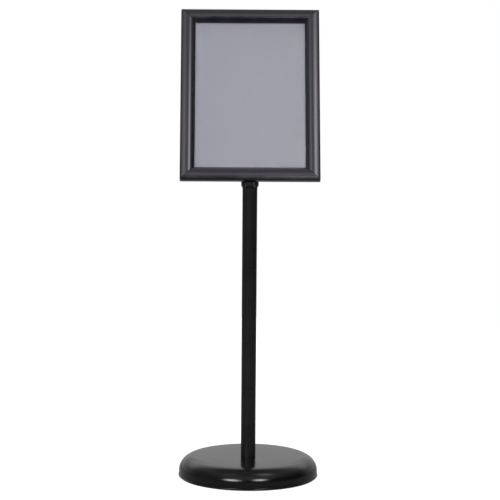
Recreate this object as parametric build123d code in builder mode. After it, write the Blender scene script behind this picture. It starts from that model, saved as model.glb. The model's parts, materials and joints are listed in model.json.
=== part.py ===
from build123d import *
import os
from math import asin, atan2, cos, degrees, radians, sin, sqrt

# Poster stand: a snap frame for one sheet, on a head that tilts and turns, a single post and a
# weighted round base. Millimetres. The origin is the middle of the base on the floor, +Z is up
# and the sheet faces -Y. Left and right are as seen from the front.

# Sheet and frame
sheet_width = 210
sheet_height = 297
sheet_cover = 10
rail_width = 25
frame_depth = 13.4
frame_corner_radius = 2.5
frame_lean = 32

# Rear rail section
rear_wall = 1.2
floor_setback = 5
rib_offset = 9.2
rib_height = 5.4
rear_edge_radius = 2

# Snap hinge between rear and front rail
hinge_inset = 2.4
hinge_drop = 5.8
bead_radius = 1.3
bead_clearance = 0.08
socket_wall = 0.8
mouth_start = 25
mouth_end = 152.5
web_angle = 44
web_thickness = 0.8
bead_setback = 6

# Front rail section
skin = 1.1
skin_start_inset = 1.8
crown_setback = 13.5
outer_edge_drop = 2.25
inner_crown_radius = 14
inner_slope = 40
nose_radius = 0.8
lip_clearance = 0.15
mitre_gap = 0.42

# Back panel and cover sheet
panel_thickness = 1.5
panel_gap = 0.4
cover_sheet_thickness = 0.5
cover_sheet_margin = 1

# Leaf springs in the rails
spring_thickness = 0.4
spring_length = 26
spring_pitch = 104
spring_gap = 0.3
spring_reach = 4.2
spring_foot_drop = 0.8

# Corner brackets and their screws
bracket_leg = 34
bracket_thickness = 2.8
bracket_gap = 0.3
bracket_screw_setback = 24
bracket_screw_diameter = 3
bracket_screw_length = 4
bracket_screw_head_diameter = 5.6
bracket_screw_head_height = 1.4

# Mount bar on the back of the frame, and its countersunk screws
bar_width = 40
bar_thickness = 2
bar_end_margin = 3
bar_corner_radius = 6
bar_boss_rim = 4
bar_boss_fillet = 14
bar_screw_inset = 7
bar_screw_pitch = 24
bar_screw_diameter = 3
bar_screw_length = 5
bar_screw_head_diameter = 6

# Turntable between mount bar and tilt arm
stud_diameter = 10
stud_clearance = 0.05
stud_flange_diameter = 18
stud_flange_thickness = 1
stud_thread_diameter = 8
stud_end = 1
friction_disc_diameter = 42
friction_disc_thickness = 1.95
face_clearance = 0.05
stop_slot_gap = 2.7
stop_pin_diameter = 4
stop_clearance = 0.3
turn_range = 90
spring_washer_diameter = 20
spring_washer_thickness = 1.6
turn_nut_flats = 13
turn_nut_height = 7

# Tilt arm
arm_reach = 158.5
arm_width = 30
arm_thickness = 4
arm_head_rim = 4.7
arm_head_fillet = 20
arm_neck_length = 16
arm_taper_length = 12
eye_setback = 0.9
arm_rib_width = 6
arm_rib_length = 96
arm_rib_depth = 12

# Post head
head_overhang = 0.2
flare_width = 2.5
cheek_thickness = 7.2
collar_height = 2.2
flare_drop = 1.3
slot_floor = 0.7
slot_clearance = 0.6
slot_side_drop = 6
spigot_length = 35
spigot_clearance = 0.1
spigot_wall = 4.1
spigot_roof = 5

# Tilt bolt through the post head, its nut and its friction washers
tilt_bolt_diameter = 6
tilt_bolt_clearance = 0.05
tilt_head_diameter = 10
tilt_head_height = 3.2
tilt_socket_flats = 4
tilt_socket_depth = 2
tilt_nut_flats = 10
tilt_nut_height = 5
tilt_recess = 0.3
pocket_clearance = 0.2
tilt_washer_setback = 2
tilt_washer_thickness = 0.8
eye_clearance = 0.1

# Post
post_diameter = 25.4
post_wall = 1.5
post_length = 461
foot_plug_length = 26
foot_plug_clearance = 0.1

# Base cover
base_height = 36.5
base_wall_radius = 119.2
shoulder_width = 31
shoulder_height = 9
shoulder_roundness = 0.8
cover_thickness = 1.2
rim_overhang = 1.1
rim_height = 3.2
rim_curl_radius = 1.5
rim_flare_height = 2.4

# Base ring and under plate
ring_height = 3
ring_width = 9
ring_edge = 0.8
under_plate_thickness = 2
under_plate_gap = 0.2

# Base weight
weight_gap = 13.8
weight_thickness = 13
weight_edge = 2.5
weight_boss_radius = 34
weight_rib_count = 6
weight_rib_width = 8
weight_rib_gap = 6.3
weight_rib_setback = 12
bolt_recess_diameter = 28
bolt_recess_depth = 10
bolt_hole_clearance = 0.3

# Post bolt and washer
post_bolt_diameter = 8
post_bolt_length = 45
bolt_head_diameter = 13
bolt_head_height = 7
bolt_socket_flats = 6
bolt_socket_depth = 4
post_washer_diameter = 24
post_washer_thickness = 2

# Sizes that follow from those above
frame_width = sheet_width - 2 * sheet_cover + 2 * rail_width
frame_height = sheet_height - 2 * sheet_cover + 2 * rail_width
floor_width = rail_width - floor_setback
crown_inset = rail_width - crown_setback
hinge_height = frame_depth - hinge_drop
sheet_floor = rear_wall + panel_thickness
lip_height = sheet_floor + cover_sheet_thickness + lip_clearance
channel_middle = (rear_wall + rib_offset) / 2
arm_to_bar = friction_disc_thickness + face_clearance
stop_start = 90 - turn_range / 2
stop_slot_width = stop_pin_diameter + 2 * stop_clearance
stop_radius = friction_disc_diameter / 2 + stop_slot_gap + stop_slot_width / 2
arm_head_radius = stop_radius + stop_slot_width / 2 + arm_head_rim
post_radius = post_diameter / 2
post_bore_radius = post_radius - post_wall
post_top = base_height + post_length
head_depth = post_diameter + 2 * head_overhang
head_width = post_diameter + 2 * flare_width
slot_width = head_width - 2 * cheek_thickness
eye_radius = head_depth / 2 - eye_setback
eye_width = slot_width - 2 * (tilt_washer_thickness + eye_clearance)
pivot_height = post_top + slot_floor + slot_clearance + eye_radius
weight_bottom = ring_height + under_plate_thickness
bolt_seat = weight_bottom + bolt_recess_depth - post_washer_thickness
bolt_hole_radius = post_bolt_diameter / 2 + bolt_hole_clearance

# Planes: the pivot plane is square to the tilt bolt, the arm plane goes through the bolt and
# leans with the frame, and the frame plane is the back of the rear rails, at the frame's middle
lean = radians(frame_lean)
pivot_plane = Plane(origin=(0, 0, pivot_height), x_dir=(0, 1, 0), z_dir=(1, 0, 0))
arm_plane = Plane(origin=pivot_plane.origin, x_dir=(1, 0, 0), z_dir=(0, -cos(lean), sin(lean)))
arm_side_plane = Plane(origin=pivot_plane.origin, x_dir=arm_plane.y_dir, z_dir=(1, 0, 0))
turn_plane = Plane(
    origin=arm_plane.from_local_coords(Vector(0, arm_reach, eye_radius)),
    x_dir=arm_plane.x_dir,
    z_dir=arm_plane.z_dir,
)
frame_plane = turn_plane.offset(arm_to_bar + bar_thickness)
bar_plane = frame_plane.offset(-bar_thickness)
out_of_frame = Axis(frame_plane.origin, frame_plane.z_dir)
seated = (Align.CENTER, Align.CENTER, Align.MIN)

# Each side of the frame: the way from its outer edge towards the middle, in the frame's own
# directions, then its length and the distance of its outer edge from the middle
sides = {
    "top": ((0, -1), frame_width, frame_height / 2),
    "bottom": ((0, 1), frame_width, frame_height / 2),
    "left": ((1, 0), frame_height, frame_width / 2),
    "right": ((-1, 0), frame_height, frame_width / 2),
}


def section_plane(side):
    # Cross-section of one side: x runs inwards from the outer edge, y towards the front
    (across, up), length, reach = sides[side]
    inward = frame_plane.x_dir * across + frame_plane.y_dir * up
    edge = frame_plane.from_local_coords(Vector(-across * reach, -up * reach, 0))
    return Plane(origin=edge, x_dir=inward, z_dir=inward.cross(frame_plane.z_dir))


def mitre_planes(side, gap):
    # The two planes that mitre one side's rail, facing away from the rail
    plane, length = section_plane(side), sides[side][1]
    for way in (1, -1):
        corner = plane.origin + plane.z_dir * way * (length / 2 - gap)
        yield Plane(origin=corner, z_dir=plane.z_dir * way + plane.x_dir)


def side_spots(side, inset, along):
    # Two points on one side's rail, in the frame's own directions
    (across, up), length, reach = sides[side]
    for way in (-along, along):
        yield (across * (inset - reach) + up * way, up * (inset - reach) + across * way)


def bracket_spots(side):
    return list(side_spots(side, channel_middle, sides[side][1] / 2 - bracket_screw_setback))


def bar_spots(side):
    return list(side_spots(side, bar_screw_inset, bar_screw_pitch / 2))


def frame_outline():
    # Prism of the whole frame with its rounded corners, which trims the tips of the rails
    with BuildPart(mode=Mode.PRIVATE) as outline:
        with BuildSketch(frame_plane):
            RectangleRounded(frame_width, frame_height, frame_corner_radius)
        extrude(amount=frame_depth)
    return outline.part


def finish(piece, name):
    piece.label = name
    export_step(piece, f"parts/{name}.step")


os.makedirs("parts", exist_ok=True)

# Rear rails: floor, outer wall, the rib that keeps the panel in place and the hinge socket
hinge = Vector(hinge_inset, hinge_height)
socket_bore = bead_radius + bead_clearance
socket_radius = socket_bore + socket_wall
mouth_reach = 3 * socket_radius
for side in sides:
    with BuildPart() as rear_rail:
        with BuildSketch(section_plane(side)) as section:
            Rectangle(floor_width, rear_wall, align=Align.MIN)
            Rectangle(rear_wall, hinge_height, align=Align.MIN)
            with Locations((rib_offset, 0)):
                Rectangle(rear_wall, rib_height, align=Align.MIN)
            fillet(section.vertices().sort_by_distance((0, 0))[0], radius=rear_edge_radius)
            with Locations(hinge):
                Circle(socket_radius)
                Circle(socket_bore, mode=Mode.SUBTRACT)
            with BuildLine():
                mouth_low = PolarLine(hinge, mouth_reach, mouth_start)
                mouth_high = PolarLine(hinge, mouth_reach, mouth_end)
                Polyline(mouth_low @ 1, hinge + Vector(0, 2 * mouth_reach), mouth_high @ 1)
            make_face(mode=Mode.SUBTRACT)
        extrude(amount=sides[side][1] / 2, both=True)
        for cut in mitre_planes(side, 0):
            split(bisect_by=cut, keep=Keep.BOTTOM)
        add(frame_outline(), mode=Mode.INTERSECT)
        with BuildSketch(frame_plane):
            with Locations(bracket_spots(side)):
                Circle(bracket_screw_diameter / 2)
            if side in ("left", "right"):
                with Locations(bar_spots(side)):
                    Circle(bar_screw_diameter / 2)
        extrude(amount=rear_wall, mode=Mode.SUBTRACT)
    finish(rear_rail.part, f"rear_rail_{side}")

# Front rails: crowned skin with its inner lip, and the web and bead that hinge in the socket
crown_run = crown_inset - skin_start_inset
outer_crown_radius = (crown_run**2 + outer_edge_drop**2) / (2 * outer_edge_drop)
outer_crown = Vector(crown_inset, frame_depth - outer_crown_radius)
inner_crown = Vector(crown_inset, frame_depth - inner_crown_radius)
outer_sweep = degrees(asin(crown_run / outer_crown_radius))
slope_way = Vector(1, 0).rotate(Axis.Z, -inner_slope)
slope_end = inner_crown + Vector(0, inner_crown_radius).rotate(Axis.Z, -inner_slope)
nose = slope_end + slope_way * ((rail_width - slope_end.X) / slope_way.X)
web_way = Vector(1, 0).rotate(Axis.Z, web_angle)
to_hinge = hinge - outer_crown
web_run = -to_hinge.dot(web_way)
web_length = web_run + sqrt(web_run**2 - to_hinge.length**2 + (outer_crown_radius - skin / 2) ** 2)
for side in sides:
    with BuildPart() as front_rail:
        with BuildSketch(section_plane(side)):
            with BuildLine() as face_line:
                CenterArc(outer_crown, outer_crown_radius, 90 + outer_sweep, -outer_sweep)
                CenterArc(inner_crown, inner_crown_radius, 90, -inner_slope)
                Polyline(slope_end, nose, (rail_width, lip_height))
                fillet(face_line.vertices().sort_by_distance(nose)[0], radius=nose_radius)
                offset(amount=skin, side=Side.RIGHT)
            make_face()
        extrude(amount=sides[side][1] / 2, both=True)
        with BuildSketch(section_plane(side)):
            with Locations(hinge):
                Circle(bead_radius)
                Rectangle(web_length, web_thickness, rotation=web_angle, align=(Align.MIN, Align.CENTER))
        extrude(amount=sides[side][1] / 2 - bead_setback, both=True)
        for cut in mitre_planes(side, mitre_gap):
            split(bisect_by=cut, keep=Keep.BOTTOM)
        add(frame_outline(), mode=Mode.INTERSECT)
    finish(front_rail.part, f"front_rail_{side}")

# Back panel on the floors of the rear rails, and the clear sheet that covers it
panel_inset = rib_offset + rear_wall + panel_gap
with BuildPart() as back_panel:
    with BuildSketch(frame_plane.offset(rear_wall)):
        Rectangle(frame_width - 2 * panel_inset, frame_height - 2 * panel_inset)
    extrude(amount=panel_thickness)
finish(back_panel.part, "back_panel")

with BuildPart() as cover_sheet:
    with BuildSketch(frame_plane.offset(sheet_floor)):
        Rectangle(sheet_width + 2 * cover_sheet_margin, sheet_height + 2 * cover_sheet_margin)
    extrude(amount=cover_sheet_thickness)
finish(cover_sheet.part, "cover_sheet")

# Leaf springs, bent from the rib of the rear rail up to the web of the front rail
spring_foot = Vector(rib_offset, rib_height - spring_foot_drop)
spring_side = web_thickness / 2 + spring_gap + spring_thickness / 2
spring_tip = hinge + web_way * spring_reach + web_way.rotate(Axis.Z, -90) * spring_side
with BuildPart() as rail_springs:
    for side in sides:
        spring_count = int((sides[side][1] - 2 * rail_width) // spring_pitch) + 1
        for step in range(spring_count):
            along = (step - (spring_count - 1) / 2) * spring_pitch
            with BuildSketch(section_plane(side).offset(along)):
                with BuildLine():
                    TangentArc(spring_foot, spring_tip, tangent=(-1, 0))
                trace(line_width=spring_thickness)
            extrude(amount=spring_length / 2, both=True)
finish(rail_springs.part, "rail_springs")

# Corner brackets in the channels of the rear rails, and the screws that hold them
bracket_inset = rear_wall + bracket_gap
bracket_width = rib_offset - rear_wall - 2 * bracket_gap
all_bracket_spots = [spot for side in sides for spot in bracket_spots(side)]
with BuildPart() as corner_brackets:
    with BuildSketch(frame_plane.offset(rear_wall)):
        for way_x, align_x in ((-1, Align.MIN), (1, Align.MAX)):
            for way_y, align_y in ((-1, Align.MIN), (1, Align.MAX)):
                corner_x = way_x * (frame_width / 2 - bracket_inset)
                corner_y = way_y * (frame_height / 2 - bracket_inset)
                with Locations((corner_x, corner_y)):
                    Rectangle(bracket_leg, bracket_width, align=(align_x, align_y))
                    Rectangle(bracket_width, bracket_leg, align=(align_x, align_y))
        with Locations(all_bracket_spots):
            Circle(bracket_screw_diameter / 2, mode=Mode.SUBTRACT)
    extrude(amount=bracket_thickness)
finish(corner_brackets.part, "corner_brackets")

with BuildPart() as bracket_screws:
    with BuildSketch(frame_plane):
        with Locations(all_bracket_spots):
            Circle(bracket_screw_head_diameter / 2)
    extrude(amount=-bracket_screw_head_height)
    head_faces = bracket_screws.faces().group_by(out_of_frame)[0]
    chamfer(head_faces.edges(), length=bracket_screw_head_height / 2)
    with BuildSketch(frame_plane):
        with Locations(all_bracket_spots):
            Circle(bracket_screw_diameter / 2)
    extrude(amount=bracket_screw_length)
finish(bracket_screws.part, "bracket_screws")

# Mount bar across the back of the frame, with a round boss behind the turntable
all_bar_spots = [spot for side in ("left", "right") for spot in bar_spots(side)]
bar_head_radius = bar_screw_head_diameter / 2
bar_head_depth = bar_head_radius - bar_screw_diameter / 2
with BuildPart(bar_plane) as mount_bar:
    with BuildSketch(bar_plane) as bar_shape:
        Rectangle(frame_width - 2 * bar_end_margin, bar_width)
        fillet(bar_shape.vertices(), radius=bar_corner_radius)
        Circle(arm_head_radius + bar_boss_rim)
        fillet(bar_shape.vertices().sort_by_distance((0, 0))[:4], radius=bar_boss_fillet)
        Circle(stud_diameter / 2, mode=Mode.SUBTRACT)
        with PolarLocations(stop_radius, 1, start_angle=stop_start):
            Circle(stop_pin_diameter / 2, mode=Mode.SUBTRACT)
    extrude(amount=bar_thickness)
    with Locations(all_bar_spots):
        Cone(bar_head_radius, bar_screw_diameter / 2, bar_head_depth, align=seated, mode=Mode.SUBTRACT)
        Cylinder(bar_screw_diameter / 2, bar_thickness, align=seated, mode=Mode.SUBTRACT)
finish(mount_bar.part, "mount_bar")

with BuildPart(bar_plane) as bar_screws:
    with Locations(all_bar_spots):
        Cone(bar_head_radius, bar_screw_diameter / 2, bar_head_depth, align=seated)
        Cylinder(bar_screw_diameter / 2, bar_screw_length, align=seated)
finish(bar_screws.part, "bar_screws")

# Turntable: a flanged stud through bar, disc and arm, closed by a spring washer and a lock nut
stud_length = bar_thickness + arm_to_bar + arm_thickness + face_clearance
washer_plane = frame_plane.offset(-stud_length)
nut_plane = washer_plane.offset(-spring_washer_thickness)
with BuildPart() as pivot_stud:
    with BuildSketch(frame_plane):
        Circle(stud_flange_diameter / 2)
    extrude(amount=stud_flange_thickness)
    with BuildSketch(frame_plane):
        Circle(stud_diameter / 2)
    extrude(amount=-stud_length)
    with BuildSketch(washer_plane):
        Circle(stud_thread_diameter / 2)
    extrude(amount=-(spring_washer_thickness + turn_nut_height + stud_end))
    chamfer(pivot_stud.edges().sort_by(out_of_frame)[0], length=stud_end / 2)
finish(pivot_stud.part, "pivot_stud")

with BuildPart() as spring_washer:
    with BuildSketch(washer_plane):
        Circle(spring_washer_diameter / 2)
        Circle(stud_thread_diameter / 2, mode=Mode.SUBTRACT)
    extrude(amount=-spring_washer_thickness)
finish(spring_washer.part, "spring_washer")

with BuildPart() as turn_nut:
    with BuildSketch(nut_plane):
        RegularPolygon(turn_nut_flats / 2, 6, major_radius=False)
        Circle(stud_thread_diameter / 2, mode=Mode.SUBTRACT)
    extrude(amount=-turn_nut_height)
finish(turn_nut.part, "turn_nut")

with BuildPart() as stop_pin:
    with BuildSketch(frame_plane):
        with PolarLocations(stop_radius, 1, start_angle=stop_start):
            Circle(stop_pin_diameter / 2)
    extrude(amount=-stud_length)
finish(stop_pin.part, "stop_pin")

with BuildPart() as friction_disc:
    with BuildSketch(turn_plane):
        Circle(friction_disc_diameter / 2)
        Circle(stud_diameter / 2 + stud_clearance, mode=Mode.SUBTRACT)
    extrude(amount=friction_disc_thickness)
finish(friction_disc.part, "friction_disc")

# Tilt arm: an eye on the tilt bolt, a ribbed strip and a round head with the stop slot
neck = eye_width / 2
taper_end = arm_neck_length + arm_taper_length
stop_arc = CenterArc((0, 0), stop_radius, stop_start, turn_range)
with BuildPart() as tilt_arm:
    with BuildSketch(arm_plane.offset(eye_radius)) as strip:
        with BuildLine():
            half = Polyline(
                (0, 0),
                (neck, 0),
                (neck, arm_neck_length),
                (arm_width / 2, taper_end),
                (arm_width / 2, arm_reach),
                (0, arm_reach),
            )
            mirror(half, about=Plane.YZ)
        make_face()
        with Locations((0, arm_reach)):
            Circle(arm_head_radius)
        head_corners = strip.vertices().group_by(Axis.Y)[-1]
        fillet(head_corners, radius=arm_head_fillet)
        with Locations((0, arm_reach)):
            Circle(stud_diameter / 2 + stud_clearance, mode=Mode.SUBTRACT)
            SlotArc(stop_arc, stop_slot_width, mode=Mode.SUBTRACT)
    extrude(amount=-arm_thickness)
    with BuildSketch(pivot_plane):
        Circle(eye_radius)
    extrude(amount=eye_width / 2, both=True)
    with BuildSketch(arm_side_plane):
        arm_back = eye_radius - arm_thickness
        with BuildLine():
            Polyline((0, arm_back), (0, arm_back - arm_rib_depth), (arm_rib_length, arm_back), close=True)
        make_face()
    extrude(amount=arm_rib_width / 2, both=True)
    with BuildSketch(pivot_plane):
        Circle(tilt_bolt_diameter / 2 + tilt_bolt_clearance)
    extrude(amount=eye_width / 2, both=True, mode=Mode.SUBTRACT)
finish(tilt_arm.part, "tilt_arm")

# Post head: a moulded spigot and collar that flares into a slotted fork for the arm's eye
spigot_radius = post_bore_radius - spigot_clearance
spigot_bottom = post_top - spigot_length
flare_top = pivot_height - flare_drop
head_top = pivot_height + head_depth / 2
head_seat = head_width / 2 - tilt_recess - tilt_head_height
nut_seat = head_width / 2 - tilt_recess - tilt_nut_height
with BuildPart() as post_head:
    with BuildSketch(Plane.XZ):
        with BuildLine():
            lower = Polyline(
                (0, spigot_bottom),
                (spigot_radius, spigot_bottom),
                (spigot_radius, post_top),
                (post_radius, post_top),
                (post_radius, post_top + collar_height),
            )
            flare = TangentArc(lower @ 1, (head_width / 2, flare_top), tangent=(0, 1))
            Polyline(flare @ 1, (head_width / 2, head_top), (0, head_top), (0, spigot_bottom))
        make_face()
    revolve(axis=Axis.Z)
    with BuildSketch(pivot_plane):
        Circle(head_depth / 2)
        Rectangle(head_depth, pivot_height - spigot_bottom, align=(Align.CENTER, Align.MAX))
    extrude(amount=head_width, both=True, mode=Mode.INTERSECT)
    with BuildSketch(pivot_plane):
        Circle(eye_radius + slot_clearance)
        with Locations((0, -slot_side_drop)):
            Rectangle(2 * head_depth, head_depth, align=(Align.CENTER, Align.MIN))
    extrude(amount=slot_width / 2, both=True, mode=Mode.SUBTRACT)
    with BuildSketch(pivot_plane):
        Circle(tilt_bolt_diameter / 2)
    extrude(amount=head_width, both=True, mode=Mode.SUBTRACT)
    with BuildSketch(pivot_plane.offset(head_seat)):
        Circle(tilt_head_diameter / 2 + pocket_clearance)
    extrude(amount=head_width, mode=Mode.SUBTRACT)
    with BuildSketch(pivot_plane.offset(-nut_seat)):
        RegularPolygon(tilt_nut_flats / 2 + pocket_clearance, 6, major_radius=False)
    extrude(amount=-head_width, mode=Mode.SUBTRACT)
    with BuildSketch(Plane.XY.offset(spigot_bottom)):
        Circle(spigot_radius - spigot_wall)
    extrude(amount=spigot_length - spigot_roof, mode=Mode.SUBTRACT)
finish(post_head.part, "post_head")

# Tilt bolt, its nut, and a friction washer on each side of the eye
with BuildPart() as tilt_bolt:
    with BuildSketch(pivot_plane.offset(head_seat)):
        Circle(tilt_head_diameter / 2)
    extrude(amount=tilt_head_height)
    with BuildSketch(pivot_plane.offset(head_seat)):
        Circle(tilt_bolt_diameter / 2)
    extrude(amount=-(head_seat + nut_seat + tilt_nut_height))
    with BuildSketch(pivot_plane.offset(head_seat + tilt_head_height)):
        RegularPolygon(tilt_socket_flats / 2, 6, major_radius=False)
    extrude(amount=-tilt_socket_depth, mode=Mode.SUBTRACT)
finish(tilt_bolt.part, "tilt_bolt")

with BuildPart() as tilt_nut:
    with BuildSketch(pivot_plane.offset(-nut_seat)):
        RegularPolygon(tilt_nut_flats / 2, 6, major_radius=False)
        Circle(tilt_bolt_diameter / 2, mode=Mode.SUBTRACT)
    extrude(amount=-tilt_nut_height)
finish(tilt_nut.part, "tilt_nut")

with BuildPart() as tilt_washers:
    for way in (-1, 1):
        with BuildSketch(pivot_plane.offset(way * slot_width / 2)):
            Circle(eye_radius - tilt_washer_setback)
            Circle(tilt_bolt_diameter / 2, mode=Mode.SUBTRACT)
        extrude(amount=-way * tilt_washer_thickness)
finish(tilt_washers.part, "tilt_washers")

# Post tube, and the threaded plug in its foot
with BuildPart() as post_tube:
    with BuildSketch(Plane.XY.offset(base_height)):
        Circle(post_radius)
        Circle(post_bore_radius, mode=Mode.SUBTRACT)
    extrude(amount=post_length)
finish(post_tube.part, "post_tube")

with BuildPart() as foot_plug:
    with BuildSketch(Plane.XY.offset(base_height)):
        Circle(post_bore_radius - foot_plug_clearance)
        Circle(post_bolt_diameter / 2, mode=Mode.SUBTRACT)
    extrude(amount=foot_plug_length)
finish(foot_plug.part, "foot_plug")

# Base cover: flat top, a shoulder of two tangent arcs, a short wall and a rolled rim
shoulder_drop = base_height - shoulder_height
side_radius = shoulder_roundness * shoulder_drop
shoulder_run = shoulder_width - side_radius
top_radius = (shoulder_run**2 + shoulder_drop**2 - side_radius**2) / (2 * (shoulder_drop - side_radius))
base_flat_radius = base_wall_radius - shoulder_width
top_centre = Vector(base_flat_radius, base_height - top_radius)
side_centre = Vector(base_wall_radius - side_radius, shoulder_height)
join = side_centre - top_centre
join_angle = degrees(atan2(join.Y, join.X))
wall_inside = base_wall_radius - cover_thickness
rim_radius = base_wall_radius + rim_overhang
rim_centre = Vector(rim_radius - rim_curl_radius, rim_height)
with BuildPart() as base_cover:
    with BuildSketch(Plane.XZ):
        with BuildLine():
            Line((bolt_hole_radius, base_height), (base_flat_radius, base_height))
            CenterArc(top_centre, top_radius, 90, join_angle - 90)
            CenterArc(side_centre, side_radius, join_angle, -join_angle)
            Line((base_wall_radius, shoulder_height), (base_wall_radius, rim_height))
            offset(amount=cover_thickness, side=Side.RIGHT)
        make_face()
        with BuildLine():
            roll = CenterArc(rim_centre, rim_curl_radius, -90, 180)
            Polyline(
                roll @ 1,
                (base_wall_radius, (roll @ 1).Y + rim_flare_height),
                (wall_inside, (roll @ 1).Y + rim_flare_height),
                (wall_inside, (roll @ 0).Y),
                roll @ 0,
            )
        make_face()
    revolve(axis=Axis.Z)
finish(base_cover.part, "base_cover")

# Under plate and the rubber ring that the stand rests on
plate_radius = wall_inside - under_plate_gap
with BuildPart() as under_plate:
    with BuildSketch(Plane.XY.offset(ring_height)):
        Circle(plate_radius)
        Circle(bolt_recess_diameter / 2, mode=Mode.SUBTRACT)
    extrude(amount=under_plate_thickness)
finish(under_plate.part, "under_plate")

with BuildPart() as base_ring:
    with BuildSketch(Plane.XY):
        Circle(plate_radius)
        Circle(plate_radius - ring_width, mode=Mode.SUBTRACT)
    extrude(amount=ring_height)
    chamfer(base_ring.edges().group_by(Axis.Z)[0], length=ring_edge)
finish(base_ring.part, "base_ring")

# Base weight: a cast disc with a boss under the post, ribs, and a recess for the bolt's head
weight_radius = wall_inside - weight_gap
weight_top = weight_bottom + weight_thickness
boss_top = base_height - cover_thickness
with BuildPart() as base_weight:
    with BuildSketch(Plane.XY.offset(weight_bottom)):
        Circle(weight_radius)
    extrude(amount=weight_thickness)
    chamfer(base_weight.edges().sort_by(Axis.Z)[-1], length=weight_edge)
    with BuildSketch(Plane.XY.offset(weight_bottom)):
        Circle(weight_boss_radius)
    extrude(amount=boss_top - weight_bottom)
    with BuildSketch(Plane.XY.offset(weight_top)):
        with PolarLocations(0, weight_rib_count):
            rib_size = (weight_radius - weight_rib_setback, weight_rib_width)
            Rectangle(*rib_size, align=(Align.MIN, Align.CENTER))
    extrude(amount=boss_top - weight_rib_gap - weight_top)
    with BuildSketch(Plane.XY.offset(weight_bottom)):
        Circle(bolt_recess_diameter / 2)
    extrude(amount=bolt_recess_depth, mode=Mode.SUBTRACT)
    with BuildSketch(Plane.XY.offset(weight_bottom)):
        Circle(bolt_hole_radius)
    extrude(amount=base_height, mode=Mode.SUBTRACT)
finish(base_weight.part, "base_weight")

# Post bolt from below, with its washer
with BuildPart() as post_bolt:
    with BuildSketch(Plane.XY.offset(bolt_seat)):
        Circle(bolt_head_diameter / 2)
    extrude(amount=-bolt_head_height)
    with BuildSketch(Plane.XY.offset(bolt_seat)):
        Circle(post_bolt_diameter / 2)
    extrude(amount=post_bolt_length)
    with BuildSketch(Plane.XY.offset(bolt_seat - bolt_head_height)):
        RegularPolygon(bolt_socket_flats / 2, 6, major_radius=False)
    extrude(amount=bolt_socket_depth, mode=Mode.SUBTRACT)
finish(post_bolt.part, "post_bolt")

with BuildPart() as post_washer:
    with BuildSketch(Plane.XY.offset(bolt_seat)):
        Circle(post_washer_diameter / 2)
        Circle(post_bolt_diameter / 2, mode=Mode.SUBTRACT)
    extrude(amount=post_washer_thickness)
finish(post_washer.part, "post_washer")
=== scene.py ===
import json
import math

import bpy
from mathutils import Matrix, Vector


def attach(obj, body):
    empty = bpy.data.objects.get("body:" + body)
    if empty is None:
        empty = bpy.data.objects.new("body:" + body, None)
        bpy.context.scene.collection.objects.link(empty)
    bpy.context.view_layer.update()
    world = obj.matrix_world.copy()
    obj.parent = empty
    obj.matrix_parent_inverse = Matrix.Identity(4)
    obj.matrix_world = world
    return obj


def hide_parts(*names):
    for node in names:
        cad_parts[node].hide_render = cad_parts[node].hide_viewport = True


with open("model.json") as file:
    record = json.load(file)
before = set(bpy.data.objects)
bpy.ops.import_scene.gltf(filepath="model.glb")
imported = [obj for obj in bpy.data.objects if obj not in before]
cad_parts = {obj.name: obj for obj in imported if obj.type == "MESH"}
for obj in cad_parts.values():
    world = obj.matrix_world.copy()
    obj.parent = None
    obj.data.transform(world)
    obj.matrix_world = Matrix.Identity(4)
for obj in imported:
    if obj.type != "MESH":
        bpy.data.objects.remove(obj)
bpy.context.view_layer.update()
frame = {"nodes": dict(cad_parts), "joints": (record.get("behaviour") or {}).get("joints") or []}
nodes = frame["nodes"]
print("frame loaded:", len(nodes), "nodes")

# The frame's lean and directions, read from the turning joint's axis
turnJoint = next(joint for joint in frame["joints"] if joint["name"] == "frame_turn")
frameMiddle = Vector(turnJoint["pos_m"])
frameNormal = Vector(turnJoint["axis"]).normalized()
frameUp = Vector((0, frameNormal.z, -frameNormal.y))
frameRight = Vector((1, 0, 0))

# Camera, fitted to the edges of the stand in the photograph
cameraSettings = {
    "place": (-0.0568, -5.3902, 1.2182),
    "pitchDown": math.radians(8.675),
    "yawRight": math.radians(0.613),
    "rollRight": math.radians(0.399),
    "lens": 229.08,
    "sensor": 36.0,
    "farEnd": 50,
}


def addCamera(settings):
    pitch, yaw, roll = settings["pitchDown"], settings["yawRight"], settings["rollRight"]
    level = Vector((math.sin(yaw), math.cos(yaw), 0))
    forward = level * math.cos(pitch) - Vector((0, 0, math.sin(pitch)))
    levelRight = forward.cross(Vector((0, 0, 1))).normalized()
    levelUp = levelRight.cross(forward)
    right = levelRight * math.cos(roll) + levelUp * math.sin(roll)
    up = right.cross(forward)
    data = bpy.data.cameras.new("standCamera")
    data.lens = settings["lens"]
    data.sensor_width = settings["sensor"]
    data.clip_end = settings["farEnd"]
    camera = bpy.data.objects.new("standCamera", data)
    turn = Matrix((right, up, -forward)).transposed()
    camera.matrix_world = Matrix.Translation(settings["place"]) @ turn.to_4x4()
    bpy.context.scene.collection.objects.link(camera)
    bpy.context.scene.camera = camera


addCamera(cameraSettings)
print("camera set")

# Small helpers for node trees
noiseSpan = (0.3, 0.7)  # nearly all values of a noise texture lie in here


def startMaterial(name):
    material = bpy.data.materials.new(name)
    material.use_nodes = True
    tree = material.node_tree
    return material, tree, tree.nodes["Principled BSDF"]


def addNode(tree, kind, **values):
    node = tree.nodes.new(kind)
    for key, value in values.items():
        setattr(node, key, value)
    return node


def objectPoints(tree):
    return addNode(tree, "ShaderNodeTexCoord").outputs["Object"]


def railPoints(tree, along, across, stretch):
    # coordinates along and across a rail, in its own directions
    mapping = addNode(tree, "ShaderNodeMapping", vector_type="TEXTURE")
    turn = Matrix((along, across, along.cross(across))).transposed()
    mapping.inputs["Rotation"].default_value = turn.to_euler()
    mapping.inputs["Scale"].default_value = [1 / factor for factor in stretch]
    tree.links.new(objectPoints(tree), mapping.inputs["Vector"])
    return mapping.outputs["Vector"]


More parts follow.
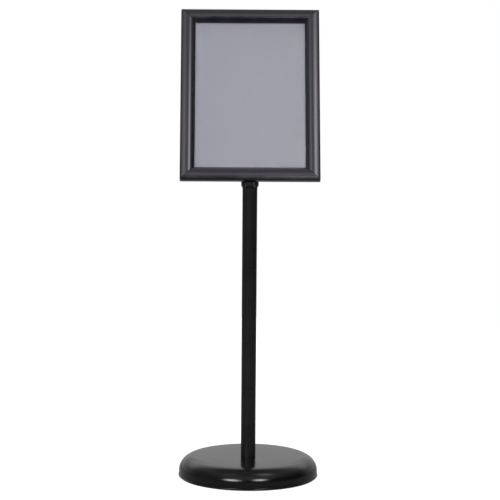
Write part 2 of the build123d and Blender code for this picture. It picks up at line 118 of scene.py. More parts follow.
def addNoise(tree, points, scale, detail, rough=0.5):
    noise = addNode(tree, "ShaderNodeTexNoise")
    noise.inputs["Scale"].default_value = scale
    noise.inputs["Detail"].default_value = detail
    noise.inputs["Roughness"].default_value = rough
    tree.links.new(points, noise.inputs["Vector"])
    return noise.outputs["Fac"]


def addRange(tree, noise, low, high):
    # turns a noise into a value from low to high
    ranged = addNode(tree, "ShaderNodeMapRange")
    for socket, value in zip(("From Min", "From Max", "To Min", "To Max"), (*noiseSpan, low, high)):
        ranged.inputs[socket].default_value = value
    tree.links.new(noise, ranged.inputs["Value"])
    return ranged.outputs["Result"]


def addTint(tree, noise, dark, light):
    # turns a noise into a colour from dark to light
    ramp = addNode(tree, "ShaderNodeValToRGB")
    for stop, position, colour in zip(ramp.color_ramp.elements, noiseSpan, (dark, light)):
        stop.position = position
        stop.color = (*colour, 1)
    tree.links.new(noise, ramp.inputs["Fac"])
    return ramp.outputs["Color"]


def addBump(tree, shader, height, distance, strength):
    bump = addNode(tree, "ShaderNodeBump")
    bump.inputs["Strength"].default_value = strength
    bump.inputs["Distance"].default_value = distance
    tree.links.new(height, bump.inputs["Height"])
    tree.links.new(bump.outputs["Normal"], shader.inputs["Normal"])


def addBlend(tree, factor, low, high):
    # low where the factor is 0, high where it is 1; both may be numbers or sockets
    mix = addNode(tree, "ShaderNodeMix", data_type="FLOAT")
    tree.links.new(factor, mix.inputs[0])
    for value, place in ((low, 2), (high, 3)):
        if isinstance(value, (int, float)):
            mix.inputs[place].default_value = value
        else:
            tree.links.new(value, mix.inputs[place])
    return mix.outputs[0]


def addStep(tree, value, start, end):
    # a soft step from 0 at start to 1 at end
    step = addNode(tree, "ShaderNodeMapRange", interpolation_type="SMOOTHSTEP")
    step.inputs["From Min"].default_value = start
    step.inputs["From Max"].default_value = end
    tree.links.new(value, step.inputs["Value"])
    return step.outputs["Result"]


finishes = {}

# Rails: black anodised aluminium, satin, with fine lines left by the die along each rail
railFinish = {"dark": (0.0030, 0.0025, 0.0060), "light": (0.0050, 0.0043, 0.0090), "roughness": (0.16, 0.21),
              "ior": 1.80, "tint": (0.95, 0.92, 1.0), "cloudScale": 35,
              "lineStretch": 8, "lineScale": 2600, "lineDepth": 0.0000025, "lineStrength": 0.6}


def makeRailFinish(name, along, across):
    material, tree, shader = startMaterial(name)
    stretch = (railFinish["lineStretch"], railFinish["lineScale"], railFinish["lineScale"])
    lines = addNoise(tree, railPoints(tree, along, across, stretch), 1.0, 2)
    clouds = addNoise(tree, objectPoints(tree), railFinish["cloudScale"], 4)
    shader.inputs["IOR"].default_value = railFinish["ior"]
    shader.inputs["Specular Tint"].default_value = (*railFinish["tint"], 1)
    tree.links.new(addTint(tree, clouds, railFinish["dark"], railFinish["light"]), shader.inputs["Base Color"])
    tree.links.new(addRange(tree, clouds, *railFinish["roughness"]), shader.inputs["Roughness"])
    addBump(tree, shader, lines, railFinish["lineDepth"], railFinish["lineStrength"])
    finishes[name] = material


makeRailFinish("railAcross", frameRight, frameUp)
makeRailFinish("railUp", frameUp, frameRight)

# Painted, moulded and cast surfaces: a colour that clouds a little, with a fine grain
coatSurface = {"cloudScale": 18, "detail": 3, "grainRoughness": 0.6, "reliefStrength": 0.5}
coatFinishes = {
    "postCoat": {"dark": (0.0068, 0.0068, 0.0075), "light": (0.0105, 0.0105, 0.0115), "roughness": (0.24, 0.32),
                 "grain": 900, "depth": 0.000008, "ior": 1.20},
    "baseGloss": {"dark": (0.0026, 0.0026, 0.0030), "light": (0.0042, 0.0042, 0.0048), "roughness": (0.15, 0.18),
                  "grain": 160, "depth": 0.000004, "ior": 1.33},
    "bracketCoat": {"dark": (0.006, 0.006, 0.0065), "light": (0.010, 0.010, 0.011), "roughness": (0.4, 0.5),
                    "grain": 900, "depth": 0.00002, "ior": 1.22},
    "mouldedBlack": {"dark": (0.006, 0.006, 0.0065), "light": (0.010, 0.010, 0.011), "roughness": (0.45, 0.55),
                     "grain": 1400, "depth": 0.00002, "ior": 1.20},
    "castIron": {"dark": (0.05, 0.05, 0.05), "light": (0.11, 0.105, 0.10), "roughness": (0.6, 0.8),
                 "grain": 420, "depth": 0.00025, "ior": 1.5},
    "blackRubber": {"dark": (0.010, 0.010, 0.010), "light": (0.018, 0.018, 0.018), "roughness": (0.7, 0.85),
                    "grain": 700, "depth": 0.00004, "ior": 1.5},
    "panelGrey": {"dark": (0.222, 0.222, 0.258), "light": (0.232, 0.232, 0.269), "roughness": (0.5, 0.6),
                  "grain": 500, "depth": 0.00001, "ior": 1.5},
    "nylonPale": {"dark": (0.62, 0.61, 0.57), "light": (0.7, 0.69, 0.65), "roughness": (0.45, 0.55),
                  "grain": 600, "depth": 0.00001, "ior": 1.5},
}


def makeCoatFinish(name, look):
    material, tree, shader = startMaterial(name)
    shader.inputs["IOR"].default_value = look["ior"]
    detail = coatSurface["detail"]
    pebbles = addNoise(tree, objectPoints(tree), look["grain"], detail, coatSurface["grainRoughness"])
    clouds = addNoise(tree, objectPoints(tree), coatSurface["cloudScale"], detail)
    tree.links.new(addTint(tree, clouds, look["dark"], look["light"]), shader.inputs["Base Color"])
    tree.links.new(addRange(tree, clouds, *look["roughness"]), shader.inputs["Roughness"])
    addBump(tree, shader, pebbles, look["depth"], coatSurface["reliefStrength"])
    finishes[name] = material


for finishName, finishLook in coatFinishes.items():
    makeCoatFinish(finishName, finishLook)

# Bare and plated metals
metalSurface = {"grain": 240, "detail": 4, "grainRoughness": 0.6, "depth": 0.00001, "reliefStrength": 0.4}
metalFinishes = {
    "zincPlate": {"dark": (0.50, 0.51, 0.53), "light": (0.68, 0.69, 0.71), "roughness": (0.28, 0.42)},
    "darkSteel": {"dark": (0.05, 0.05, 0.055), "light": (0.09, 0.09, 0.095), "roughness": (0.35, 0.5)},
    "springSteel": {"dark": (0.30, 0.31, 0.33), "light": (0.42, 0.43, 0.45), "roughness": (0.25, 0.35)},
}


def makeMetalFinish(name, look):
    material, tree, shader = startMaterial(name)
    shader.inputs["Metallic"].default_value = 1.0
    clouds = addNoise(tree, objectPoints(tree), metalSurface["grain"], metalSurface["detail"],
                      metalSurface["grainRoughness"])
    tree.links.new(addTint(tree, clouds, look["dark"], look["light"]), shader.inputs["Base Color"])
    tree.links.new(addRange(tree, clouds, *look["roughness"]), shader.inputs["Roughness"])
    addBump(tree, shader, clouds, metalSurface["depth"], metalSurface["reliefStrength"])
    finishes[name] = material


for finishName, finishLook in metalFinishes.items():
    makeMetalFinish(finishName, finishLook)

# Clear sheet: film with an anti-glare face, which blurs what it mirrors
clearFinish = {"dark": (0.96, 0.96, 0.97), "light": (0.99, 0.99, 1.0), "roughness": (0.30, 0.36), "ior": 1.45,
               "cloudScale": 14}


def makeClearFinish(name, look):
    material, tree, shader = startMaterial(name)
    shader.inputs["Transmission Weight"].default_value = 1.0
    shader.inputs["IOR"].default_value = look["ior"]
    clouds = addNoise(tree, objectPoints(tree), look["cloudScale"], 2)
    tree.links.new(addTint(tree, clouds, look["dark"], look["light"]), shader.inputs["Base Color"])
    tree.links.new(addRange(tree, clouds, *look["roughness"]), shader.inputs["Roughness"])
    finishes[name] = material


makeClearFinish("clearSheet", clearFinish)

nodeFinish = {
    "front_rail_top": "railAcross", "front_rail_bottom": "railAcross",
    "rear_rail_top": "railAcross", "rear_rail_bottom": "railAcross",
    "front_rail_left": "railUp", "front_rail_right": "railUp",
    "rear_rail_left": "railUp", "rear_rail_right": "railUp",
    "post_tube": "postCoat", "post_head": "mouldedBlack", "tilt_arm": "bracketCoat", "mount_bar": "bracketCoat",
    "base_cover": "baseGloss", "base_weight": "castIron", "base_ring": "blackRubber",
    "back_panel": "panelGrey", "cover_sheet": "clearSheet",
    "friction_disc": "nylonPale", "tilt_washers": "nylonPale",
    "under_plate": "zincPlate", "post_bolt": "zincPlate", "post_washer": "zincPlate", "foot_plug": "zincPlate",
    "pivot_stud": "zincPlate", "spring_washer": "zincPlate", "turn_nut": "zincPlate", "stop_pin": "zincPlate",
    "corner_brackets": "zincPlate", "rail_springs": "springSteel",
    "tilt_bolt": "darkSteel", "tilt_nut": "darkSteel", "bar_screws": "darkSteel", "bracket_screws": "darkSteel",
}
for nodeName, finishName in nodeFinish.items():
    for matSlot in nodes[nodeName].material_slots:
        matSlot.material = finishes[finishName]
print("finishes set")

# Modelling helpers: a piece is shaped upright at the origin, then moved to its place
cutMargin = 0.001  # how far a cutting tool runs out past the face
smoothAngle = 35  # edges flatter than this are shaded smooth
level = 1e-6  # points within this of a height lie at it
facing = 0.9  # a normal with at least this share along the axis faces it
mergeDistance = 0.000005
hexSides = 6


def onlySelect(piece):
    bpy.ops.object.select_all(action="DESELECT")
    piece.select_set(True)
    bpy.context.view_layer.objects.active = piece


def addRound(name, radius, low, high, sides=48):
    bpy.ops.object.select_all(action="DESELECT")
    bpy.ops.mesh.primitive_cylinder_add(vertices=sides, radius=radius, depth=high - low,
                                        location=(0, 0, (low + high) / 2))
    piece = bpy.context.active_object
    piece.name = name
    bpy.ops.object.transform_apply(location=True, rotation=True, scale=True)
    return piece


def pickEdges(piece, test):
    # leaves the piece in edit mode, with the edges picked whose two ends pass the test
    onlySelect(piece)
    bpy.ops.object.mode_set(mode="EDIT")
    bpy.ops.mesh.select_mode(type="EDGE")
    bpy.ops.mesh.select_all(action="DESELECT")
    bpy.ops.object.mode_set(mode="OBJECT")
    points = piece.data.vertices
    for edge in piece.data.edges:
        edge.select = all(test(points[end].co) for end in edge.vertices)
    bpy.ops.object.mode_set(mode="EDIT")


def pickFaces(piece, test):
    # the same with faces, by their middle and normal
    onlySelect(piece)
    bpy.ops.object.mode_set(mode="EDIT")
    bpy.ops.mesh.select_mode(type="FACE")
    bpy.ops.mesh.select_all(action="DESELECT")
    bpy.ops.object.mode_set(mode="OBJECT")
    for face in piece.data.polygons:
        face.select = test(face.center, face.normal)
    bpy.ops.object.mode_set(mode="EDIT")


def roundEdgesAt(piece, height, offset, segments):
    pickEdges(piece, lambda point: abs(point.z - height) < level)
    bpy.ops.mesh.bevel(offset=offset, segments=segments, affect="EDGES")
    bpy.ops.object.mode_set(mode="OBJECT")


def growShank(piece, height, inset, length):
    # narrows the end face and pulls it out along the axis
    pickFaces(piece, lambda middle, normal: abs(middle.z - height) < level and abs(normal.z) > facing)
    bpy.ops.mesh.inset(thickness=inset)
    bpy.ops.mesh.extrude_region_move(TRANSFORM_OT_translate={"value": (0, 0, length)})
    bpy.ops.object.mode_set(mode="OBJECT")


def shapeWith(piece, tool, operation="DIFFERENCE"):
    onlySelect(piece)
    cut = piece.modifiers.new("cut", "BOOLEAN")
    cut.operation = operation
    cut.solver = "EXACT"
    cut.object = tool
    bpy.ops.object.modifier_apply(modifier="cut")
    bpy.data.objects.remove(tool)


def spinProfile(name, points, steps, closed=True):
    # draws the section point by point in the XZ plane and spins it round Z
    bpy.ops.object.select_all(action="DESELECT")
    bpy.ops.mesh.primitive_plane_add(size=0.001)
    piece = bpy.context.active_object
    piece.name = name
    bpy.ops.object.mode_set(mode="EDIT")
    bpy.ops.mesh.select_mode(type="VERT")
    bpy.ops.mesh.select_all(action="SELECT")
    bpy.ops.mesh.merge(type="CENTER")
    bpy.ops.transform.translate(value=(points[0][0], 0, points[0][1]))
    path = list(points[1:]) + ([points[0]] if closed else [])
    here = points[0]
    for spot in path:
        step = (spot[0] - here[0], 0, spot[1] - here[1])
        bpy.ops.mesh.extrude_region_move(TRANSFORM_OT_translate={"value": step})
        here = spot
    bpy.ops.mesh.select_all(action="SELECT")
    bpy.ops.mesh.spin(steps=steps, angle=2 * math.pi, center=(0, 0, 0), axis=(0, 0, 1))
    bpy.ops.mesh.select_all(action="SELECT")
    bpy.ops.mesh.remove_doubles(threshold=mergeDistance)
    bpy.ops.mesh.normals_make_consistent(inside=False)
    bpy.ops.object.mode_set(mode="OBJECT")
    return piece


def placePiece(piece, place):
    onlySelect(piece)
    piece.matrix_world = place
    bpy.ops.object.transform_apply(location=True, rotation=True, scale=True)
    return piece


def placeCopies(piece, places):
    # one copy with its own mesh at every place, joined to one piece under the same name
    name = piece.name
    copies = []
    for place in places:
        copy = piece.copy()
        copy.data = piece.data.copy()
        bpy.context.scene.collection.objects.link(copy)
        copies.append(placePiece(copy, place))
    bpy.data.objects.remove(piece)
    onlySelect(copies[0])
    for copy in copies:
        copy.select_set(True)
    bpy.ops.object.join()
    copies[0].name = name
    return copies[0]


def finishPiece(piece, finish, body, slot, *replaced, smooth=smoothAngle):
    onlySelect(piece)
    bpy.ops.object.shade_smooth_by_angle(angle=math.radians(smooth))
    piece.data.materials.clear()
    piece.data.materials.append(finishes[finish])
    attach(piece, body)
    if replaced:
        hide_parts(*replaced)


def behindFrame(across=0, upward=0):
    # a place on the back of the frame, with its Z pointing backwards
    turn = Matrix((-frameRight, frameUp, -frameNormal)).transposed().to_4x4()
    return Matrix.Translation(frameMiddle + frameRight * across + frameUp * upward) @ turn


def fourSpots(across, upward):
    return [behindFrame(x, y) for x in (-across, across) for y in (-upward, upward)]


# Base cover: one pressing with a flat top, a soft shoulder, a plain wall and a rolled rim
coverSettings = {
    "topHeight": 0.0365, "flatRadius": 0.0930, "wallRadius": 0.1194, "sideRadius": 0.0232, "sideHeight": 0.0115,
    "holeRadius": 0.0043, "innerRing": 0.045, "thickness": 0.0012,
    "rimRadius": 0.1203, "rimMiddle": 0.0032, "rimRoll": 0.0015, "rimTop": 0.0071,
    "arcSteps": 14, "rimSteps": 8, "roundSteps": 160,
}


def shoulderPoints(settings):
    # two arcs that run into each other: a wide one off the flat top, a tighter one into the wall
    side, run = settings["sideRadius"], settings["wallRadius"] - settings["sideRadius"] - settings["flatRadius"]
    drop = settings["topHeight"] - settings["sideHeight"]
    top = (run ** 2 + drop ** 2 - side ** 2) / (2 * (drop - side))
    topMiddle = (settings["flatRadius"], settings["topHeight"] - top)
    sideMiddle = (settings["wallRadius"] - side, settings["sideHeight"])
    join = math.atan2(sideMiddle[1] - topMiddle[1], sideMiddle[0] - topMiddle[0])
    points = []
    for middle, radius, first, last in ((topMiddle, top, math.pi / 2, join), (sideMiddle, side, join, 0)):
        for i in range(settings["arcSteps"]):
            turn = first + (last - first) * i / settings["arcSteps"]
            points.append((middle[0] + radius * math.cos(turn), middle[1] + radius * math.sin(turn)))
    return points + [(settings["wallRadius"], settings["sideHeight"])]


def addCover(settings):
    top, roll = settings["topHeight"], settings["rimRoll"]
    points = [(settings["holeRadius"], top), (settings["innerRing"], top)] + shoulderPoints(settings)
    points.append((settings["wallRadius"], settings["rimTop"]))
    for i in range(settings["rimSteps"] + 1):
        turn = math.pi / 2 - math.pi * i / settings["rimSteps"]
        points.append((settings["rimRadius"] - roll + roll * math.cos(turn),
                       settings["rimMiddle"] + roll * math.sin(turn)))
    cover = spinProfile("baseCover", points, settings["roundSteps"], closed=False)
    topFace = max(cover.data.polygons, key=lambda face: face.center.z)
    if topFace.normal.z < 0:
        cover.data.flip_normals()
    wall = cover.modifiers.new("wall", "SOLIDIFY")
    wall.thickness = settings["thickness"]
    wall.offset = -1
    bpy.ops.object.modifier_apply(modifier="wall")
    finishPiece(cover, "baseGloss", "stand", "base_gloss", "base_cover")


addCover(coverSettings)
print("base cover made")

# Cover sheet: clear film with rounded corners, a hair clear of the panel that it lies on
coverFilm = {"width": 0.212, "height": 0.299, "front": 0.0032, "back": 0.00285, "corner": 0.0015, "cornerSteps": 5}


def addCoverFilm(settings):
    bpy.ops.object.select_all(action="DESELECT")
    bpy.ops.mesh.primitive_plane_add(size=1, location=(0, 0, -settings["front"]))
    film = bpy.context.active_object
    film.name = "coverFilm"
    film.scale = (settings["width"], settings["height"], 1)
    bpy.ops.object.transform_apply(location=True, rotation=True, scale=True)
    bpy.ops.object.mode_set(mode="EDIT")
    bpy.ops.mesh.select_all(action="SELECT")
    bpy.ops.mesh.bevel(offset=settings["corner"], segments=settings["cornerSteps"], affect="VERTICES")
    bpy.ops.mesh.select_all(action="SELECT")
    depth = settings["front"] - settings["back"]
    bpy.ops.mesh.extrude_region_move(TRANSFORM_OT_translate={"value": (0, 0, depth)})
    bpy.ops.mesh.select_all(action="SELECT")
    bpy.ops.mesh.normals_make_consistent(inside=False)
    bpy.ops.object.mode_set(mode="OBJECT")
    finishPiece(placePiece(film, behindFrame()), "clearSheet", "frame", "clear_sheet", "cover_sheet")


addCoverFilm(coverFilm)
print("cover sheet made")

# Screws of the corner brackets: pan heads with a cross recess, two at each corner of the frame
bracketScrew = {"headRadius": 0.0028, "headHeight": 0.0014, "edge": 0.000868, "edgeSteps": 5, "sides": 32,
                "shankRadius": 0.0015, "shankLength": 0.004,
                "crossWidth": 0.0008, "crossLength": 0.0030, "crossDepth": 0.0008,
                "acrossSpot": (0.096, 0.1583), "upwardSpot": (0.1148, 0.1395)}
crossTaper = 0.55  # the recess narrows to this share at its bottom


def cutCross(screw, settings, top):
    # two tapered bars across each other cut the recess
    size = (settings["crossWidth"], settings["crossLength"], 2 * settings["crossDepth"])
    bpy.ops.object.select_all(action="DESELECT")
    bars = []
    for turn in (0, math.pi / 2):
        bpy.ops.mesh.primitive_cube_add(size=1, location=(0, 0, top), rotation=(0, 0, turn), scale=size)
        bar = bpy.context.active_object
        bpy.ops.object.transform_apply(location=True, rotation=True, scale=True)
        pickFaces(bar, lambda middle, normal: normal.z < -facing)
        bpy.ops.transform.resize(value=(crossTaper, crossTaper, 1),
                                 center_override=(0, 0, top - settings["crossDepth"]))
        bpy.ops.object.mode_set(mode="OBJECT")
        bars.append(bar)
    for bar in bars:
        shapeWith(screw, bar)


def addBracketScrews(settings):
    top = settings["headHeight"]
    screw = addRound("bracketScrewHeads", settings["headRadius"], 0, top, settings["sides"])
    roundEdgesAt(screw, top, settings["edge"], settings["edgeSteps"])
    growShank(screw, 0, settings["headRadius"] - settings["shankRadius"], -settings["shankLength"])
    cutCross(screw, settings, top)
    places = fourSpots(*settings["acrossSpot"]) + fourSpots(*settings["upwardSpot"])
    finishPiece(placeCopies(screw, places), "darkSteel", "frame", "dark_steel", "bracket_screws")


addBracketScrews(bracketScrew)

# Screws of the mount bar: countersunk, flush with the bar's back
barScrew = {"headRadius": 0.003, "headDepth": 0.0015, "edge": 0.0001, "edgeSteps": 2, "sides": 32,
            "shankRadius": 0.0015, "length": 0.005, "barThickness": 0.002,
            "crossWidth": 0.0008, "crossLength": 0.0032, "crossDepth": 0.0009, "spot": (0.113, 0.012)}


def addBarScrews(settings):
    top = settings["barThickness"]
    low = top - settings["headDepth"]
    screw = addRound("barScrewHeads", settings["headRadius"], low, top, settings["sides"])
    pickFaces(screw, lambda middle, normal: normal.z < -facing)
    shrink = settings["shankRadius"] / settings["headRadius"]
    bpy.ops.transform.resize(value=(shrink, shrink, 1), center_override=(0, 0, low))
    reach = top - settings["length"] - low
    bpy.ops.mesh.extrude_region_move(TRANSFORM_OT_translate={"value": (0, 0, reach)})
    bpy.ops.object.mode_set(mode="OBJECT")
    roundEdgesAt(screw, top, settings["edge"], settings["edgeSteps"])
    cutCross(screw, settings, top)
    places = fourSpots(*settings["spot"])
    finishPiece(placeCopies(screw, places), "darkSteel", "frame", "dark_steel", "bar_screws")


addBarScrews(barScrew)

# Turntable: coned spring washer, and a lock nut with its pale insert
washerSettings = {"radius": 0.01, "bore": 0.00405, "low": 0.00805, "high": 0.00965, "cone": 0.0006,
                  "edge": 0.00015, "steps": 72, "smooth": 25}
lockNut = {"flats": 0.013, "low": 0.00965, "high": 0.01665, "bore": 0.00403, "cornerChamfer": 0.00075,
           "turn": 30, "insertRadius": 0.0052, "insertLow": 0.0149, "insertGap": 0.00005, "insertSunk": 0.0002,
           "insertEdge": 0.0003, "insertSteps": 64}
nutTurning = {"faceShare": 0.97, "margin": 0.0001, "steps": 64}  # end faces as a share of the flats


def addSpringWasher(settings):
    low, high, bore, rim = settings["low"], settings["high"], settings["bore"], settings["radius"]
    edge, thick = settings["edge"], high - low - settings["cone"]
    points = [(bore, high - thick), (rim, low), (rim, low + thick - edge), (rim - edge, low + thick),
              (bore + edge, high), (bore, high - edge)]
    washer = placePiece(spinProfile("coneWasher", points, settings["steps"]), behindFrame())
    finishPiece(washer, "zincPlate", "frame", "zinc_plate", "spring_washer", smooth=settings["smooth"])


def cornerRadius(flats):
    # from the middle of a hexagon to its corners
    return flats / 2 / math.cos(math.pi / hexSides)


def addHexNut(name, flats, low, high, chamfer):
    # a hexagon turned down at both ends, so that its corners are chamfered
    nut = addRound(name, cornerRadius(flats), low, high, hexSides)
    reach = cornerRadius(flats) + nutTurning["margin"]
    face = flats / 2 * nutTurning["faceShare"]
    points = [(0, low), (face, low), (reach, low + chamfer), (reach, high - chamfer), (face, high), (0, high)]
    shapeWith(nut, spinProfile("nutTurning", points, nutTurning["steps"]), "INTERSECT")
    return nut


def addLockNut(settings):
    low, high, gap = settings["low"], settings["high"], settings["insertGap"]
    bore, rim, seat = settings["bore"], settings["insertRadius"], settings["insertLow"]
    nut = addHexNut("lockNut", settings["flats"], low, high, settings["cornerChamfer"])
    shapeWith(nut, addRound("nutBore", bore, low - cutMargin, high + cutMargin))
    shapeWith(nut, addRound("insertSeat", rim + gap, seat, high + cutMargin))
    turned = behindFrame() @ Matrix.Rotation(math.radians(settings["turn"]), 4, "Z")
    finishPiece(placePiece(nut, turned), "zincPlate", "frame", "zinc_plate", "turn_nut")
    top, edge = high - settings["insertSunk"], settings["insertEdge"]
    points = [(bore, seat + gap), (rim, seat + gap), (rim, top - edge), (rim - edge, top), (bore + edge, top),
              (bore, top - edge)]
    insert = placePiece(spinProfile("nutInsert", points, settings["insertSteps"]), behindFrame())
    finishPiece(insert, "nylonPale", "frame", "friction_plastic")


addSpringWasher(washerSettings)
addLockNut(lockNut)
print("frame fasteners made")

# Tilt bolt with a rounded socket head, and its nut
tiltBolt = {"height": 0.5108, "headSeat": 0.0117, "headEnd": 0.0149, "headRadius": 0.005,
            "edge": 0.0009, "edgeSteps": 5, "sides": 64,
            "shankRadius": 0.003, "shankEnd": -0.0149, "socketFlats": 0.004, "socketDepth": 0.002,
            "nutFlats": 0.010, "nutLow": -0.0149, "nutHigh": -0.0099, "nutChamfer": 0.0006}


def addTiltBolt(settings):
    seat, end, shank = settings["headSeat"], settings["headEnd"], settings["shankRadius"]
    across = Matrix(((0, 0, 1), (0, 1, 0), (-1, 0, 0))).to_4x4()
    place = Matrix.Translation((0, 0, settings["height"])) @ across
    bolt = addRound("tiltBoltHead", settings["headRadius"], seat, end, settings["sides"])
    roundEdgesAt(bolt, end, settings["edge"], settings["edgeSteps"])
    growShank(bolt, seat, settings["headRadius"] - shank, settings["shankEnd"] - seat)
    shapeWith(bolt, addRound("socket", cornerRadius(settings["socketFlats"]), end - settings["socketDepth"],
                             end + cutMargin, hexSides))
    finishPiece(placePiece(bolt, place), "darkSteel", "stand", "dark_steel", "tilt_bolt")
    low, high = settings["nutLow"], settings["nutHigh"]
    nut = addHexNut("tiltNut", settings["nutFlats"], low, high, settings["nutChamfer"])
    shapeWith(nut, addRound("nutBore", shank, low - cutMargin, high + cutMargin))
    finishPiece(placePiece(nut, place), "darkSteel", "stand", "dark_steel", "tilt_nut")


addTiltBolt(tiltBolt)

# Post bolt, up through the base into the post: a socket head with a knurled side
postBolt = {"headRadius": 0.0065, "headLow": 0.006, "headHigh": 0.013, "edge": 0.0006, "edgeSteps": 4,
            "shankRadius": 0.004, "shankTop": 0.058, "socketFlats": 0.006, "socketDepth": 0.004,
            "knurlSides": 60, "knurlInset": 0.00008, "knurlDepth": 0.0002,
            "uprightLimit": 0.1}


def addPostBolt(settings):
    low, high, sides = settings["headLow"], settings["headHigh"], settings["knurlSides"]
    bolt = addRound("postBoltHead", settings["headRadius"], low, high, sides)
    roundEdgesAt(bolt, low, settings["edge"], settings["edgeSteps"])
    faceTurn = 2 * math.pi / sides
    pickFaces(bolt, lambda middle, normal: abs(normal.z) < settings["uprightLimit"] and round(
        math.atan2(middle.y, middle.x) / faceTurn - 0.5) % 2 == 0)
    bpy.ops.mesh.inset(thickness=settings["knurlInset"], depth=-settings["knurlDepth"], use_individual=True)
    bpy.ops.object.mode_set(mode="OBJECT")
    growShank(bolt, high, settings["headRadius"] - settings["shankRadius"], settings["shankTop"] - high)
    shapeWith(bolt, addRound("socket", cornerRadius(settings["socketFlats"]), low - cutMargin,
                             low + settings["socketDepth"], hexSides))
    finishPiece(bolt, "zincPlate", "stand", "zinc_plate", "post_bolt")


addPostBolt(postBolt)
print("stand fasteners made")

# Stage: a round floor that keeps the stand's shadow and fades into the white all round it. Reflections
# show it grey behind the stand and nearly dark in front of it.
stageSettings = {"floorRadius": 1.6, "floorSides": 96, "floorColour": (0.32, 0.32, 0.32), "floorRoughness": 0.9,
                 "fade": (0.16, 0.75), "glowNear": 0.82, "glowFar": 1.0,
                 "glossyFront": 0.02, "glossyBack": 0.22, "behind": (0.0, 0.5)}


def addSeen(tree):
    # 1 where the camera looks straight or through the clear sheet, and the glossy rays beside it
    rays = addNode(tree, "ShaderNodeLightPath")
    seen = addNode(tree, "ShaderNodeMath", operation="MAXIMUM")
    tree.links.new(rays.outputs["Is Camera Ray"], seen.inputs[0])
    tree.links.new(rays.outputs["Is Transmission Ray"], seen.inputs[1])
    return seen.outputs[0], rays.outputs["Is Glossy Ray"]


def addFloor(settings):
    bpy.ops.object.select_all(action="DESELECT")
    bpy.ops.mesh.primitive_circle_add(vertices=settings["floorSides"], radius=settings["floorRadius"],
                                      fill_type="NGON")
    floor = bpy.context.active_object
    floor.name = "studioFloor"
    material, tree, shader = startMaterial("studioFloor")
    shader.inputs["Base Color"].default_value = (*settings["floorColour"], 1)
    shader.inputs["Roughness"].default_value = settings["floorRoughness"]
    shader.inputs["Specular IOR Level"].default_value = 0.0
    shader.inputs["Emission Color"].default_value = (1, 1, 1, 1)
    distance = addNode(tree, "ShaderNodeVectorMath", operation="LENGTH")
    tree.links.new(objectPoints(tree), distance.inputs[0])
    split = addNode(tree, "ShaderNodeSeparateXYZ")
    tree.links.new(objectPoints(tree), split.inputs[0])
    fade = addStep(tree, distance.outputs["Value"], *settings["fade"])
    behind = addStep(tree, split.outputs["Y"], *settings["behind"])
    seen, glossy = addSeen(tree)
    mirrored = addBlend(tree, glossy, 0.0, addBlend(tree, behind, settings["glossyFront"], settings["glossyBack"]))
    shown = addBlend(tree, fade, settings["glowNear"], settings["glowFar"])
    tree.links.new(addBlend(tree, seen, mirrored, shown), shader.inputs["Emission Strength"])
    floor.data.materials.append(material)


addFloor(stageSettings)

# World: white to the camera and through the clear sheet. Reflections show a studio instead: behind the
# stand a grey wall, dim low down and bright high up, in front a dark room with a bright stretch high up,
# and a soft ceiling. Each pair of numbers says where a soft step starts and ends: up as a sine of the
# elevation, back as +Y, and across as X or its size.
worldSettings = {
    "wall": 0.75, "wallSide": 0.55, "wallTop": 1.90, "backLow": 0.25, "ceiling": 0.42,
    "frontHigh": 0.82, "sideHigh": 0.30, "frontLow": 0.025, "leftLow": 0.25,
    "frontRise": (0.36, 0.62), "frontCeiling": (0.74, 0.93), "highAcross": (0.48, 0.85), "lowLeft": (-0.45, -0.95),
    "wallRise": (-0.02, 0.12), "wallAcross": (0.50, 0.95), "topRise": (0.30, 0.60), "topBack": (0.38, 0.62),
    "wallCeiling": (0.80, 0.93), "frontToBack": (0.10, 0.60),
}


def addWorld(settings):
    world = bpy.data.worlds.new("studioWorld")
    bpy.context.scene.world = world
    world.use_nodes = True
    tree = world.node_tree
    background = tree.nodes["Background"]
    coords = addNode(tree, "ShaderNodeTexCoord")
    split = addNode(tree, "ShaderNodeSeparateXYZ")
    tree.links.new(coords.outputs["Generated"], split.inputs[0])
    across, depth, height = split.outputs
    size = addNode(tree, "ShaderNodeMath", operation="ABSOLUTE")
    tree.links.new(across, size.inputs[0])
    side = size.outputs[0]
    seen, glossy = addSeen(tree)

    def blend(value, step, low, high):
        return addBlend(tree, addStep(tree, value, *settings[step]), low, high)

    frontTop = blend(side, "highAcross", settings["frontHigh"], settings["sideHigh"])
    frontFoot = blend(across, "lowLeft", settings["frontLow"], settings["leftLow"])
    front = blend(height, "frontRise", frontFoot, frontTop)
    front = blend(height, "frontCeiling", front, settings["ceiling"])
    plain = blend(side, "wallAcross", settings["wall"], settings["wallSide"])
    foot = addBlend(tree, glossy, settings["wall"], settings["backLow"])
    wall = blend(height, "wallRise", foot, plain)
    wall = blend(height, "topRise", wall, blend(depth, "topBack", plain, settings["wallTop"]))
    wall = blend(height, "wallCeiling", wall, settings["ceiling"])
    dome = blend(depth, "frontToBack", front, wall)
    background.inputs["Color"].default_value = (1, 1, 1, 1)
    tree.links.new(addBlend(tree, seen, dome, 1.0), background.inputs["Strength"])


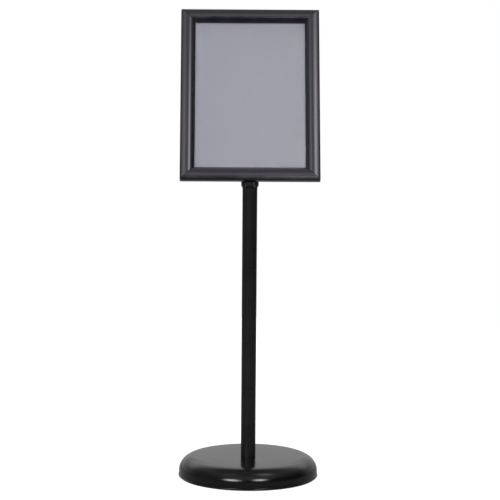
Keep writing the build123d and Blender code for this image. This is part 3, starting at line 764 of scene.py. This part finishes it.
addWorld(worldSettings)

# Lamps: two soft boxes in front, placed by the two highlights on the base's shoulder, and two dim ones
# high up at the sides, which light the side rails. Each is brightest in its middle and fades outwards.
lampSettings = [
    {"name": "softboxLeft", "azimuth": -28, "elevation": 17, "distance": 6.0, "size": (4.8, 2.8),
     "radiance": 26.0, "fade": (0.42, 0.06)},
    {"name": "softboxRight", "azimuth": 20, "elevation": 21.5, "distance": 6.0, "size": (4.0, 2.8),
     "radiance": 25.0, "fade": (0.38, 0.10)},
    {"name": "sideLeft", "azimuth": -46, "elevation": 56, "distance": 1.64, "size": (1.0, 1.0),
     "radiance": 0.7, "fade": (0.48, 0.02)},
    {"name": "sideRight", "azimuth": 44, "elevation": 57.4, "distance": 1.64, "size": (1.0, 1.0),
     "radiance": 3.2, "fade": (0.48, 0.02)},
]
lampAim = Vector((0, 0, 0.25))


def addLamp(settings):
    data = bpy.data.lights.new(settings["name"], "AREA")
    data.shape = "ELLIPSE"
    data.size, data.size_y = settings["size"]
    data.energy = settings["radiance"] * math.pi ** 2 * data.size * data.size_y / 4
    data.use_nodes = True
    tree = data.node_tree
    spot = addNode(tree, "ShaderNodeNewGeometry")
    away = addNode(tree, "ShaderNodeVectorMath", operation="DISTANCE")
    away.inputs[1].default_value = (0.5, 0.5, 0)  # the middle of the lamp
    tree.links.new(spot.outputs["Parametric"], away.inputs[0])
    fade = addStep(tree, away.outputs["Value"], *settings["fade"])
    tree.links.new(fade, tree.nodes["Emission"].inputs["Strength"])
    lamp = bpy.data.objects.new(settings["name"], data)
    azimuth, elevation = math.radians(settings["azimuth"]), math.radians(settings["elevation"])
    way = Vector((math.sin(azimuth), -math.cos(azimuth), math.tan(elevation))).normalized()
    lamp.location = lampAim + way * settings["distance"]
    lamp.rotation_euler = (-way).to_track_quat("-Z", "Y").to_euler()
    bpy.context.scene.collection.objects.link(lamp)


for lampRow in lampSettings:
    addLamp(lampRow)
bpy.context.scene.view_settings.view_transform = "Standard"
print("stage lit")
